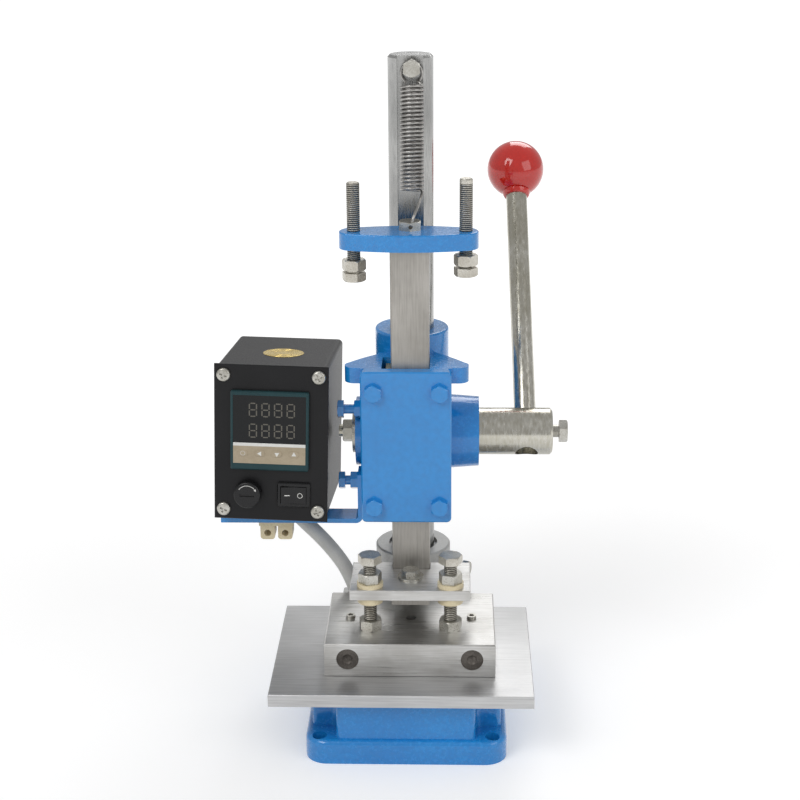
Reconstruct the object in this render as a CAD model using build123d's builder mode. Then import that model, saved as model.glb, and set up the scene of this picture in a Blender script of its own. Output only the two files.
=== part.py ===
# Bench-top hot foil stamper: cast base, round column, rack-and-pinion head, heated block
# and a temperature control box.  Millimetres, +Z up, front towards -Y.
# The origin is on the base's underside, in the plane of the column and the ram.
from build123d import *
from math import acos, cos, pi, radians, sin, tan
import os

os.makedirs("parts", exist_ok=True)

# ---------------------------------------------------------------- driving dimensions
base_x = -2.3                 # the casting sits a little left of the column plane
base_w, base_d, base_h = 125.0, 154.0, 42.0
flange_h = 15.5
hole_dx, hole_dy, hole_r = 107.0, 138.0, 4.5
table_w, table_d, table_t = 162.0, 126.0, 8.0
table_x, table_y = -4.9, -19.0
table_top = base_h + table_t
column_r, column_y, column_top = 14.0, 44.5, 418.8
groove_w, groove_deep = 16.0, 5.5
socket_r, socket_top = 24.6, 97.5
ram_w, ram_y, ram_top, ram_foot = 23.5, 4.0, 308.0, 86.0
ram_front, ram_rear = ram_y - ram_w / 2, ram_y + ram_w / 2
module, teeth, pressure = 1.5, 12, radians(25)
pitch_r = module * teeth / 2
pinion_y, pinion_z = ram_rear - module + pitch_r, 183.4
rack_teeth = 30
hub_r, hub_end = 15.0, 89.5
head_left, head_right, head_front = -30.6, 25.5, ram_front - 0.3
head_bottom, head_top = 135.9, 234.7
boss_r, boss_bottom, boss_top = 23.5, 152.0, 246.9
cover_t = 7.5
plate_w, plate_t, plate_z = 84.6, 10.3, 308.0
end_plate_w, end_plate_y0, end_plate_y1 = 75.0, -41.6, 2.3
end_plate_z, end_plate_t = 94.5, 6.5
block_w, block_d, block_h = 106.0, 76.0, 21.5
block_y, block_z = -19.0, table_top + 0.3
block_top = block_z + block_h
lever_x, lever_lean, lever_side, lever_len = 72.8, radians(38.3), radians(1.4), 187.0
rod_r, ball_r = 7.0, 19.0
box_w, box_h, box_d, box_wall = 71.0, 99.0, 92.0, 1.6
cable_d = 9.5
slack = 0.05                  # radial gap where a fastener passes through its own body

# ---------------------------------------------------------------- fasteners
m6 = dict(r=3.0, flats=10.0, head=4.0, nut=5.0)
m8 = dict(r=4.0, flats=13.0, head=5.3, nut=6.5)


def corner(flats):
    return flats / 2 / cos(pi / 6)


def hex_bolt(size, length):
    """Hex bolt: head from z = 0 up, shank down, with a turned crown and a point chamfer."""
    crown = corner(size["flats"]) - size["flats"] / 2
    with BuildPart() as blank:
        Cylinder(corner(size["flats"]), size["head"], align=(Align.CENTER, Align.CENTER, Align.MIN))
        chamfer(blank.edges().group_by(Axis.Z)[-1], length=crown * 0.7, length2=crown)
    with BuildPart() as bolt:
        with BuildSketch():
            RegularPolygon(size["flats"] / 2, 6, major_radius=False)
        extrude(amount=size["head"])
        add(blank.part, mode=Mode.INTERSECT)
        with BuildSketch():
            Circle(size["r"])
        extrude(amount=-length)
        chamfer(bolt.edges().group_by(Axis.Z)[0], length=0.7)
    return bolt.part


def hex_nut(size, height=None):
    """Hex nut from z = 0 up, chamfered on both faces."""
    tall = height or size["nut"]
    crown = corner(size["flats"]) - size["flats"] / 2
    with BuildPart() as blank:
        Cylinder(corner(size["flats"]), tall, align=(Align.CENTER, Align.CENTER, Align.MIN))
        chamfer(blank.edges().filter_by(GeomType.CIRCLE), length=crown * 0.7)
    with BuildPart() as nut:
        with BuildSketch():
            RegularPolygon(size["flats"] / 2, 6, major_radius=False)
        extrude(amount=tall)
        add(blank.part, mode=Mode.INTERSECT)
        Hole(size["r"] + slack)
    return nut.part


def pan_screw(head_r, head_t, shank_r, length):
    """Cross-recess pan screw: head from z = 0 up, shank down."""
    with BuildPart() as screw:
        Cylinder(head_r, head_t, align=(Align.CENTER, Align.CENTER, Align.MIN))
        fillet(screw.edges().group_by(Axis.Z)[-1], radius=head_t * 0.6)
        with BuildSketch(Plane.XY.offset(head_t)):
            Rectangle(head_r * 1.1, head_r * 0.28)
            Rectangle(head_r * 0.28, head_r * 1.1)
        extrude(amount=-head_t * 0.6, mode=Mode.SUBTRACT)
        with BuildSketch():
            Circle(shank_r)
        extrude(amount=-length)
    return screw.part


def along(point, direction, across=(0, 0, 1)):
    """Plane at a point, with its normal along a direction."""
    return Plane(origin=point, x_dir=across, z_dir=direction)


# ---------------------------------------------------------------- base casting
foot_r = 14.0
pocket_x, pocket_y = 16.0, 17.0
rail = 16.0
cavity_wall, roof = 9.0, 10.0
with BuildPart() as base_casting:
    with BuildSketch():
        with Locations((base_x, 0)):
            RectangleRounded(base_w, base_d, foot_r)
    extrude(amount=flange_h)
    fillet(base_casting.edges().group_by(Axis.Z)[-1], radius=3.5)
    with BuildSketch(Plane.XY.offset(flange_h - 4)):
        with Locations((base_x, 0)):
            RectangleRounded(base_w - 7, base_d - 7, 10)
        with Locations(*[(base_x + sx * base_w / 2, sy * base_d / 2) for sx in (-1, 1) for sy in (-1, 1)]):
            RectangleRounded(2 * (pocket_x + 3.5), 2 * (pocket_y + 3.5), 5, mode=Mode.SUBTRACT)
    extrude(amount=base_h - flange_h + 4)
    fillet(base_casting.edges().filter_by(Axis.Z).filter_by(
        lambda e: e.center().Z > flange_h and e.length > 20), radius=3.0)
    # underside cavity, in front of the cross rail that carries the column
    inner_w, inner_d = (base_w - 7) / 2 - pocket_x - cavity_wall, base_d / 2 - cavity_wall - rail / 2 - 4
    with BuildSketch():
        with Locations((base_x, -(rail / 2 + inner_d / 2))):
            RectangleRounded(2 * inner_w, inner_d, 6)
    extrude(amount=base_h - roof, mode=Mode.SUBTRACT)
    with Locations((base_x, 0, flange_h)), GridLocations(hole_dx, hole_dy, 2, 2):
        Hole(hole_r, depth=flange_h)
    # bore for the column, blind so that its end stands on the floor of the boss
    with BuildSketch(Plane.XY.offset(8)):
        with Locations((0, column_y)):
            Circle(column_r + slack)
    extrude(amount=base_h, mode=Mode.SUBTRACT)
    table_screw_xy = [(table_x + sx * 22, table_y + dy) for sx in (-1, 1) for dy in (-35, 0)]
    with Locations(*[(x, y, base_h) for x, y in table_screw_xy]):
        Hole(3.0 + slack, depth=base_h)
base_casting.part.label = "base_casting"
export_step(base_casting.part, "parts/base_casting.step")

# ---------------------------------------------------------------- work table and its screws
with BuildPart() as worktable:
    with BuildSketch(Plane.XY.offset(base_h)):
        with Locations((table_x, table_y)):
            Rectangle(table_w, table_d)
        with Locations((0, column_y)):
            Circle(socket_r + 1.0, mode=Mode.SUBTRACT)
    extrude(amount=table_t)
    chamfer(worktable.edges().group_by(Axis.Z)[-1].filter_by(GeomType.LINE), length=0.4)
    with BuildSketch(Plane.XY.offset(base_h)):
        with Locations(*table_screw_xy):
            Circle(3.0 + slack)
    extrude(amount=5.5, mode=Mode.SUBTRACT)
worktable.part.label = "worktable"
export_step(worktable.part, "parts/worktable.step")

table_screw = hex_bolt(m6, roof + 5.0)
with BuildPart() as worktable_screws:
    with Locations(*[along((x, y, base_h - roof), (0, 0, -1), (1, 0, 0)) for x, y in table_screw_xy]):
        add(table_screw)
worktable_screws.part.label = "worktable_screws"
export_step(worktable_screws.part, "parts/worktable_screws.step")

# ---------------------------------------------------------------- column, its socket and its anchor bolt
groove_floor = column_y - column_r + groove_deep
anchor_z, anchor_x = 412.0, 1.0
with BuildPart() as column:
    with BuildSketch(Plane.XY.offset(8)):
        with Locations((0, column_y)):
            Circle(column_r)
    extrude(amount=column_top - 8)
    chamfer(column.edges().group_by(Axis.Z)[-1], length=1.5)
    with BuildSketch(Plane.XY.offset(socket_top + 6)):
        with Locations((0, groove_floor - 10)):
            Rectangle(groove_w, 20)
    extrude(amount=column_top, mode=Mode.SUBTRACT)
    with Locations(along((anchor_x, groove_floor, anchor_z), (0, -1, 0))):
        Hole(3.0 + slack, depth=12)
column.part.label = "column"
export_step(column.part, "parts/column.step")

with BuildPart() as column_socket:
    with BuildSketch(Plane.XY.offset(base_h)):
        with Locations((0, column_y)):
            Circle(socket_r)
            Circle(column_r + slack, mode=Mode.SUBTRACT)
    extrude(amount=socket_top - base_h)
    chamfer(column_socket.edges().group_by(Axis.Z)[-1].sort_by(SortBy.RADIUS)[-1], length=1.0)
    with BuildSketch(Plane.XY.offset(socket_top)):
        with Locations((0, column_y)):
            Circle(column_r + 2.0)
    extrude(amount=-2.5, mode=Mode.SUBTRACT)
    socket_turn = radians(-22)
    socket_out = (cos(socket_turn), sin(socket_turn), 0)
    socket_screw_z = 84.0
    with BuildSketch(along((0, column_y, socket_screw_z), socket_out)):
        Circle(3.0 + slack)
    extrude(amount=socket_r + 2, mode=Mode.SUBTRACT)
column_socket.part.label = "column_socket"
export_step(column_socket.part, "parts/column_socket.step")


def socket_point(radius):
    return (socket_out[0] * radius, column_y + socket_out[1] * radius, socket_screw_z)


socket_head_r = socket_r + 11.5
socket_bolt, socket_nut = hex_bolt(m6, socket_head_r - column_r - 0.2), hex_nut(m6)
with BuildPart() as socket_lock_bolt:
    with Locations(along(socket_point(socket_head_r), socket_out)):
        add(socket_bolt)
    with Locations(along(socket_point(socket_r + 0.2), socket_out)):
        add(socket_nut)
socket_lock_bolt.part.label = "socket_lock_bolt"
export_step(socket_lock_bolt.part, "parts/socket_lock_bolt.step")

anchor_head_y = groove_floor - 7.0
anchor_bolt = hex_bolt(m6, groove_floor - anchor_head_y + 11.5)
with BuildPart() as spring_anchor_bolt:
    with Locations(along((anchor_x, anchor_head_y, anchor_z), (0, -1, 0))):
        add(anchor_bolt)
spring_anchor_bolt.part.label = "spring_anchor_bolt"
export_step(spring_anchor_bolt.part, "parts/spring_anchor_bolt.step")

# ---------------------------------------------------------------- head casting
slot_left, slot_right, slot_rear = -17.7, ram_w / 2 + 0.3, ram_rear + 0.3
web_left, web_right, web_rear = -21.0, 16.0, 26.0
ear_left, ear_right, ear_t, ear_r, ear_front = -40.6, 36.1, 10.0, 6.5, head_front + 1.5
right_face, left_face = 42.8, -35.1
right_bush_r, left_bush_r = 17.0, 12.0
left_journal_r = 9.0
right_bush_x, left_bush_x = 15.0, -19.5
cover_bolt_x, cover_bolt_z = (-22.7, 18.1), (146.7, 221.5)
gib_bolt_y, gib_bolt_z = 4.3, (156.7, 204.4)
clamp_z, clamp_y, clamp_half = (178.0, 222.0), column_y + boss_r + 7.0, 13.0
with BuildPart() as head_casting:
    # ram housing
    with BuildSketch(Plane.XY.offset(head_bottom)):
        with Locations(((head_left + head_right) / 2, (head_front + 14) / 2)):
            Rectangle(head_right - head_left, 14 - head_front)
        with Locations(((web_left + web_right) / 2, (14 + web_rear) / 2)):
            Rectangle(web_right - web_left, web_rear - 14)
    extrude(amount=head_top - head_bottom)
    # web to the clamp boss
    with BuildSketch(Plane.XY.offset(boss_bottom)):
        with Locations((0, (web_rear + column_y) / 2)):
            Rectangle(26, column_y - web_rear)
        with Locations((0, column_y)):
            Circle(boss_r)
    extrude(amount=head_top - boss_bottom)
    with BuildSketch(Plane.XY.offset(head_top)):
        with Locations((0, column_y)):
            Circle(boss_r)
    extrude(amount=boss_top - head_top)
    # top flange with two ears that the stop bolts come down on
    with BuildSketch(Plane.XY.offset(head_top - ear_t)):
        with BuildLine():
            Line((ear_left + ear_r, ear_front), (ear_right - ear_r, ear_front))
            ThreePointArc((ear_right - ear_r, ear_front), (ear_right, ear_front + ear_r),
                          (ear_right - 0.4 * ear_r, ear_front + 1.8 * ear_r))
            ThreePointArc((ear_right - 0.4 * ear_r, ear_front + 1.8 * ear_r), (23.0, 18.5), (13, 29))
            Line((13, 29), (-13, 29))
            ThreePointArc((-13, 29), (-26.0, 18.5), (ear_left + 0.4 * ear_r, ear_front + 1.8 * ear_r))
            ThreePointArc((ear_left + 0.4 * ear_r, ear_front + 1.8 * ear_r), (ear_left, ear_front + ear_r),
                          (ear_left + ear_r, ear_front))
        make_face()
    extrude(amount=ear_t)
    # pinion housing across the casting, with a tapered boss on the lever side
    with BuildSketch(along((left_face, pinion_y, pinion_z), (1, 0, 0), (0, 1, 0))):
        Circle(22.0)
    extrude(amount=head_right - left_face)
    with BuildSketch(along((head_right - 4, pinion_y, pinion_z), (1, 0, 0), (0, 1, 0))):
        Circle(23.8)
    extrude(amount=right_face - head_right + 4, taper=4.2)
    # rear clamp lugs
    with BuildSketch(Plane.XY.offset(boss_bottom + 10)):
        with Locations((0, column_y + boss_r + 4)):
            Rectangle(2 * clamp_half, 19)
    extrude(amount=boss_top - boss_bottom - 16)
    # ram slot, open at the front until the cover closes it
    with BuildSketch(Plane.XY.offset(head_bottom - 1)):
        with Locations(((slot_left + slot_right) / 2, (head_front - 1 + slot_rear) / 2)):
            Rectangle(slot_right - slot_left, slot_rear - head_front + 1)
    extrude(amount=head_top - head_bottom + 2, mode=Mode.SUBTRACT)
    # column bore, clamp slit
    with BuildSketch(Plane.XY.offset(boss_bottom - 1)):
        with Locations((0, column_y)):
            Circle(column_r + slack)
        with Locations((0, column_y + boss_r)):
            Rectangle(3.0, 2 * boss_r)
    extrude(amount=boss_top - boss_bottom + 2, mode=Mode.SUBTRACT)
    # pinion cavity and the two bush seats
    with BuildSketch(along((left_bush_x, pinion_y, pinion_z), (1, 0, 0), (0, 1, 0))):
        Circle(11.2)
    extrude(amount=right_bush_x - left_bush_x, mode=Mode.SUBTRACT)
    with BuildSketch(along((right_bush_x, pinion_y, pinion_z), (1, 0, 0), (0, 1, 0))):
        Circle(right_bush_r)
    extrude(amount=40, mode=Mode.SUBTRACT)
    with BuildSketch(along((left_bush_x, pinion_y, pinion_z), (-1, 0, 0), (0, 1, 0))):
        Circle(left_bush_r)
    extrude(amount=40, mode=Mode.SUBTRACT)
    # fastener holes
    with Locations(*[along((x, head_front, z), (0, -1, 0)) for x in cover_bolt_x for z in cover_bolt_z]):
        Hole(m6["r"] + slack, depth=13)
    with Locations(*[along((head_left, gib_bolt_y, z), (-1, 0, 0)) for z in gib_bolt_z]):
        Hole(m6["r"] + slack, depth=slot_left - head_left + 1)
    with Locations(*[along((clamp_half, clamp_y, z), (1, 0, 0)) for z in clamp_z]):
        Hole(m8["r"] + slack, depth=2 * clamp_half)
    fillet(head_casting.edges().filter_by(GeomType.CIRCLE).filter_by(
        lambda e: abs(e.radius - boss_r) < 0.01 and e.center().Z > head_top + 5), radius=1.5)
head_casting.part.label = "head_casting"
export_step(head_casting.part, "parts/head_casting.step")

clamp_bolt, clamp_nut = hex_bolt(m8, 2 * clamp_half + m8["nut"] + 2), hex_nut(m8)
with BuildPart() as head_clamp_bolts:
    with Locations(*[along((clamp_half, clamp_y, z), (1, 0, 0)) for z in clamp_z]):
        add(clamp_bolt)
    with Locations(*[along((-clamp_half, clamp_y, z), (-1, 0, 0)) for z in clamp_z]):
        add(clamp_nut)
head_clamp_bolts.part.label = "head_clamp_bolts"
export_step(head_clamp_bolts.part, "parts/head_clamp_bolts.step")

# ---------------------------------------------------------------- front cover and its bolts
cover_bolt_at = [along((x, head_front - cover_t, z), (0, -1, 0)) for x in cover_bolt_x for z in cover_bolt_z]
with BuildPart() as front_cover:
    with BuildSketch(along((0, head_front, 0), (0, -1, 0), (1, 0, 0))):
        with Locations(((head_left + head_right) / 2, (head_top + head_bottom) / 2)):
            RectangleRounded(head_right - head_left, head_top - head_bottom, 3.0)
    extrude(amount=cover_t)
    chamfer(front_cover.faces().sort_by(Axis.Y)[0].edges(), length=0.8)
    with Locations(*cover_bolt_at):
        Hole(m6["r"] + slack, depth=cover_t)
front_cover.part.label = "front_cover"
export_step(front_cover.part, "parts/front_cover.step")

cover_bolt = hex_bolt(m6, cover_t + 11)
with BuildPart() as cover_bolts:
    with Locations(*cover_bolt_at):
        add(cover_bolt)
cover_bolts.part.label = "cover_bolts"
export_step(cover_bolts.part, "parts/cover_bolts.step")

# ---------------------------------------------------------------- gib strip, gib bolts and lock nuts
gib_x0, gib_x1 = -15.8, -ram_w / 2 - 0.1
with BuildPart() as ram_gib:
    with BuildSketch(Plane.XY.offset(head_bottom + 4)):
        with Locations(((gib_x0 + gib_x1) / 2, (head_front + 0.3 + 13.5) / 2)):
            Rectangle(gib_x1 - gib_x0, 13.5 - head_front - 0.3)
    extrude(amount=head_top - head_bottom - 7)
    chamfer(ram_gib.edges().group_by(Axis.Z)[-1], length=0.5)
ram_gib.part.label = "ram_gib"
export_step(ram_gib.part, "parts/ram_gib.step")

gib_head_x, strap_t = -41.8, 3.0
gib_bolt, gib_nut = hex_bolt(m6, gib_x0 - gib_head_x), hex_nut(m6, 4.8)
with BuildPart() as gib_bolts:
    with Locations(*[along((gib_head_x, gib_bolt_y, z), (-1, 0, 0)) for z in gib_bolt_z]):
        add(gib_bolt)
    with Locations(*[along((x, gib_bolt_y, z), (-1, 0, 0))
                     for x, z in zip((head_left - strap_t, head_left), gib_bolt_z)]):
        add(gib_nut)
gib_bolts.part.label = "gib_bolts"
export_step(gib_bolts.part, "parts/gib_bolts.step")

# ---------------------------------------------------------------- control box: place and strap
box_place = Location((-87.5, -17.0, 138.5)) * Location((0, 0, 0), (0, 0, -2.0))
box_place = box_place * Location((0, 0, 0), (-5.3, 0, 0)) * Location((0, 0, 0), (0, 1.3, 0))
strap_y0, strap_y1, strap_top, strap_z = -5.0, 12.0, 163.5, 131.0
with BuildPart() as box_bracket:
    with BuildSketch(Plane.XZ.offset(-strap_y1)) as strap:
        with BuildLine():
            Polyline((head_left, strap_top), (head_left, strap_z), (-121.0, strap_z),
                     (-121.0, strap_z + strap_t), (head_left - strap_t, strap_z + strap_t),
                     (head_left - strap_t, strap_top), close=True)
        make_face()
        fillet(strap.vertices().filter_by(lambda v: v.X > head_left - 1 and v.Y < strap_z + 1), radius=4.5)
        fillet(strap.vertices().filter_by(
            lambda v: abs(v.X - head_left + strap_t) < 0.1 and v.Y < strap_top - 1), radius=1.5)
    extrude(amount=strap_y1 - strap_y0)
    with Locations(along((head_left - strap_t, gib_bolt_y, gib_bolt_z[0]), (-1, 0, 0))):
        Hole(m6["r"] + slack, depth=strap_t)
box_bracket.part.label = "box_bracket"
export_step(box_bracket.part, "parts/box_bracket.step")

# ---------------------------------------------------------------- control box, modelled upright, then placed
shell_w, shell_h = box_w - 1.6, box_h - 1.6
front_t = 2.0
bezel_w, bezel_h, bezel_x, bezel_z = 48.5, 50.0, -0.6, 58.0
panel_screw_x, panel_screw_z = 29.5, (6.6, 92.4)
fuse_x, fuse_z, fuse_r = -14.0, 17.4, 8.4
switch_x, switch_z, switch_w, switch_h = 14.4, 17.3, 20.6, 15.6
grommet_x, grommet_y = 4.0, 40.0
with BuildPart() as box_shell:
    with BuildSketch(Plane.XZ) as section:
        with Locations((0, box_h / 2)):
            RectangleRounded(shell_w, shell_h, 3.0)
    extrude(amount=-box_d)
    with BuildSketch(Plane.XZ.offset(1)):
        with Locations((0, box_h / 2)):
            RectangleRounded(shell_w - 2 * box_wall, shell_h - 2 * box_wall, 1.6)
    extrude(amount=-(box_d - box_wall + 1), mode=Mode.SUBTRACT)
    fillet(box_shell.faces().sort_by(Axis.Y)[-1].outer_wire().edges(), radius=1.2)
    with Locations(*[(sx * panel_screw_x, 6.0, z) for sx in (-1, 1) for z in panel_screw_z]):
        Box(7.2, 12.0, 7.6)
    with Locations(*[along((sx * panel_screw_x, 0, z), (0, -1, 0)) for sx in (-1, 1) for z in panel_screw_z]):
        Hole(1.5, depth=12)
    with Locations((grommet_x, grommet_y, 2)):
        Hole(7.0, depth=6)
box_shell_placed = box_shell.part.moved(box_place)
box_shell_placed.label = "box_shell"
export_step(box_shell_placed, "parts/box_shell.step")

with BuildPart() as box_front_panel:
    with BuildSketch(Plane.XZ):
        with Locations((0, box_h / 2)):
            Rectangle(box_w, box_h)
        with Locations((bezel_x, bezel_z)):
            Rectangle(45.0, 45.6, mode=Mode.SUBTRACT)
        with Locations((fuse_x, fuse_z)):
            Circle(6.2, mode=Mode.SUBTRACT)
        with Locations((switch_x, switch_z)):
            Rectangle(switch_w - 2.4, switch_h - 2.4, mode=Mode.SUBTRACT)
        with Locations(*[(sx * panel_screw_x, z) for sx in (-1, 1) for z in panel_screw_z]):
            Circle(1.6, mode=Mode.SUBTRACT)
    extrude(amount=front_t)
    chamfer(box_front_panel.faces().sort_by(Axis.Y)[0].outer_wire().edges(), length=0.5)
box_front_panel_placed = box_front_panel.part.moved(box_place)
box_front_panel_placed.label = "box_front_panel"
export_step(box_front_panel_placed, "parts/box_front_panel.step")

panel_screw = pan_screw(4.3, 2.2, 1.45, 11.0)
with BuildPart() as panel_screws:
    with Locations(*[along((sx * panel_screw_x, -front_t, z), (0, -1, 0), (1, 0, 0.4 * sx))
                     for sx in (-1, 1) for z in panel_screw_z]):
        add(panel_screw)
panel_screws_placed = panel_screws.part.moved(box_place)
panel_screws_placed.label = "panel_screws"
export_step(panel_screws_placed, "parts/panel_screws.step")

# ---------------------------------------------------------------- temperature controller
bezel_front = -front_t - 3.4
key_w, key_h, key_z = 6.4, 4.0, bezel_z - 14.2
key_x = [bezel_x - 16.4 + 10.6 * i for i in range(4)]
key_names = ["key_set", "key_shift", "key_down", "key_up"]
with BuildPart() as controller_case:
    with BuildSketch(Plane.XZ.offset(front_t)):
        with Locations((bezel_x, bezel_z)):
            Rectangle(44.6, 45.2)
    extrude(amount=-72.0)
    with BuildSketch(Plane.XZ.offset(front_t - 1.6)):
        with Locations((bezel_x, bezel_z)):
            Rectangle(41.6, 42.2)
    extrude(amount=-68.8, mode=Mode.SUBTRACT)
controller_case_placed = controller_case.part.moved(box_place)
controller_case_placed.label = "controller_case"
export_step(controller_case_placed, "parts/controller_case.step")

window_z, window_h, face_w = bezel_z + 7.0, 31.0, 45.4
keypad_h = 11.0
with BuildPart() as controller_bezel:
    with BuildSketch(Plane.XZ.offset(front_t)):
        with Locations((bezel_x, bezel_z)):
            RectangleRounded(bezel_w, bezel_h, 1.0)
    extrude(amount=3.4)
    chamfer(controller_bezel.faces().sort_by(Axis.Y)[0].edges(), length=0.7)
    with BuildSketch(Plane.XZ.offset(-bezel_front)):
        with Locations((bezel_x, window_z)):
            Rectangle(face_w, window_h)
    extrude(amount=-1.2, mode=Mode.SUBTRACT)
    with BuildSketch(Plane.XZ.offset(-bezel_front)):
        with Locations(*[(x, key_z) for x in key_x]):
            SlotOverall(key_w + 0.5, key_h + 0.5)
    extrude(amount=-3.4, mode=Mode.SUBTRACT)
controller_bezel_placed = controller_bezel.part.moved(box_place)
controller_bezel_placed.label = "controller_bezel"
export_step(controller_bezel_placed, "parts/controller_bezel.step")

with BuildPart() as display_window:
    with BuildSketch(Plane.XZ.offset(-bezel_front - 1.2)):
        with Locations((bezel_x, window_z)):
            Rectangle(face_w, window_h)
    extrude(amount=0.9)
display_window_placed = display_window.part.moved(box_place)
display_window_placed.label = "display_window"
export_step(display_window_placed, "parts/display_window.step")

key_stand, key_travel = 0.5, 0.4
for name, x in zip(key_names, key_x):
    with BuildPart() as key:
        with BuildSketch(Plane.XZ.offset(front_t + key_travel)):
            with Locations((x, key_z)):
                SlotOverall(key_w, key_h)
        extrude(amount=3.4 - key_travel + key_stand)
        fillet(key.faces().sort_by(Axis.Y)[0].edges(), radius=0.35)
    key_placed = key.part.moved(box_place)
    key_placed.label = name
    export_step(key_placed, f"parts/{name}.step")

# ---------------------------------------------------------------- fuse holder, its cap and the fuse
cap_depth = 6.5
with BuildPart() as fuse_holder:
    with BuildSketch(Plane.XZ.offset(front_t)):
        with Locations((fuse_x, fuse_z)):
            Circle(8.0)
            Circle(4.7, mode=Mode.SUBTRACT)
    extrude(amount=1.6)
    with BuildSketch(Plane.XZ.offset(front_t)):
        with Locations((fuse_x, fuse_z)):
            Circle(6.0)
            Circle(4.7, mode=Mode.SUBTRACT)
    extrude(amount=-32.0)
    with BuildSketch(Plane.XZ.offset(front_t - 32.0)):
        with Locations((fuse_x, fuse_z)):
            Circle(6.0)
    extrude(amount=-2.0)
fuse_holder_placed = fuse_holder.part.moved(box_place)
fuse_holder_placed.label = "fuse_holder"
export_step(fuse_holder_placed, "parts/fuse_holder.step")

with BuildPart() as fuse_cap:
    with BuildSketch(Plane.XZ.offset(front_t + 1.8)):
        with Locations((fuse_x, fuse_z)):
            Circle(fuse_r)
    extrude(amount=5.2)
    fillet(fuse_cap.faces().sort_by(Axis.Y)[0].edges(), radius=1.2)
    with BuildSketch(Plane.XZ.offset(front_t + 1.8)):
        with Locations((fuse_x, fuse_z)):
            Circle(4.4)
    extrude(amount=-cap_depth)
    with BuildSketch(Plane.XZ.offset(front_t + 7.0)):
        with Locations((fuse_x, fuse_z)):
            Rectangle(9.0, 1.6)
    extrude(amount=-0.8, mode=Mode.SUBTRACT)
fuse_cap_placed = fuse_cap.part.moved(box_place)
fuse_cap_placed.label = "fuse_cap"
export_step(fuse_cap_placed, "parts/fuse_cap.step")

with BuildPart() as fuse_link:
    with BuildSketch(Plane.XZ.offset(front_t + 1.8 - cap_depth)):
        with Locations((fuse_x, fuse_z)):
            Circle(2.6)
    extrude(amount=-20.0)
fuse_link_placed = fuse_link.part.moved(box_place)
fuse_link_placed.label = "fuse_link"
export_step(fuse_link_placed, "parts/fuse_link.step")

# ---------------------------------------------------------------- rocker switch
rocker_w, rocker_h, rocker_tilt = 15.6, 10.6, 8.0
pivot_y = -front_t - 0.6
with BuildPart() as switch_body:
    with BuildSketch(Plane.XZ.offset(front_t)):
        with Locations((switch_x, switch_z)):
            RectangleRounded(switch_w, switch_h, 1.2)
    extrude(amount=2.2)
    chamfer(switch_body.faces().sort_by(Axis.Y)[0].edges(), length=0.6)
    with BuildSketch(Plane.XZ.offset(front_t)):
        with Locations((switch_x, switch_z)):
            Rectangle(switch_w - 2.6, switch_h - 2.6)
    extrude(amount=-16.0)
    with BuildSketch(Plane.XZ.offset(front_t + 2.2)):
        with Locations((switch_x, switch_z)):
            Rectangle(rocker_w + 0.8, rocker_h + 0.6)
    extrude(amount=-11.0, mode=Mode.SUBTRACT)
switch_body_placed = switch_body.part.moved(box_place)
switch_body_placed.label = "switch_body"
export_step(switch_body_placed, "parts/switch_body.step")

# rocker: a shallow V across its width, tipped towards the off mark at rest
rocker_deep = 5.0
with BuildPart() as rocker_blank:
    with BuildSketch(Plane.XY.offset(-rocker_h / 2)):
        with BuildLine():
            half, rise = rocker_w / 2, rocker_w / 2 * tan(radians(rocker_tilt))
            Polyline((-half, -2.4 - rise), (0, -2.4), (half, -2.4 - rise),
                     (half - 1.2, rocker_deep - 2.0), (-half + 1.2, rocker_deep - 2.0), close=True)
        make_face()
    extrude(amount=rocker_h)
rocker_place = Location((switch_x, pivot_y + 0.6, switch_z)) * Location((0, 0, 0), (0, 0, rocker_tilt / 2))
switch_rocker_placed = rocker_blank.part.moved(box_place * rocker_place)
switch_rocker_placed.label = "switch_rocker"
export_step(switch_rocker_placed, "parts/switch_rocker.step")

# ---------------------------------------------------------------- terminal strip, grommet, power inlet
strip_x, strip_y, strip_top = -86.0, 2.5, strap_z - 0.2
lobe_x = [strip_x + dx for dx in (-5.6, 5.6)]
with BuildPart() as terminal_strip:
    with BuildSketch(Plane.XZ.offset(-strip_y - 6)):
        with Locations((strip_x, strip_top - 1.3)):
            Rectangle(22.0, 2.6)
        with Locations(*[(x, strip_top - 6.0) for x in lobe_x]):
            RectangleRounded(9.2, 11.6, 2.0)
    extrude(amount=12.0)
    with Locations(*[along((x, strip_y - 6, strip_top - 7.5), (0, -1, 0)) for x in lobe_x]):
        Hole(2.2, depth=12)
terminal_strip.part.label = "terminal_strip"
export_step(terminal_strip.part, "parts/terminal_strip.step")

with BuildPart() as cable_grommet:
    with BuildSketch(Plane.XY.offset(-1.4)):
        with Locations((grommet_x, grommet_y)):
            Circle(9.0)
            Circle(cable_d / 2 + 0.3, mode=Mode.SUBTRACT)
    extrude(amount=2.2)
    with BuildSketch(Plane.XY.offset(0.8)):
        with Locations((grommet_x, grommet_y)):
            Circle(6.9)
            Circle(cable_d / 2 + 0.3, mode=Mode.SUBTRACT)
    extrude(amount=box_wall + 0.3)
cable_grommet_placed = cable_grommet.part.moved(box_place)
cable_grommet_placed.label = "cable_grommet"
export_step(cable_grommet_placed, "parts/cable_grommet.step")

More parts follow.
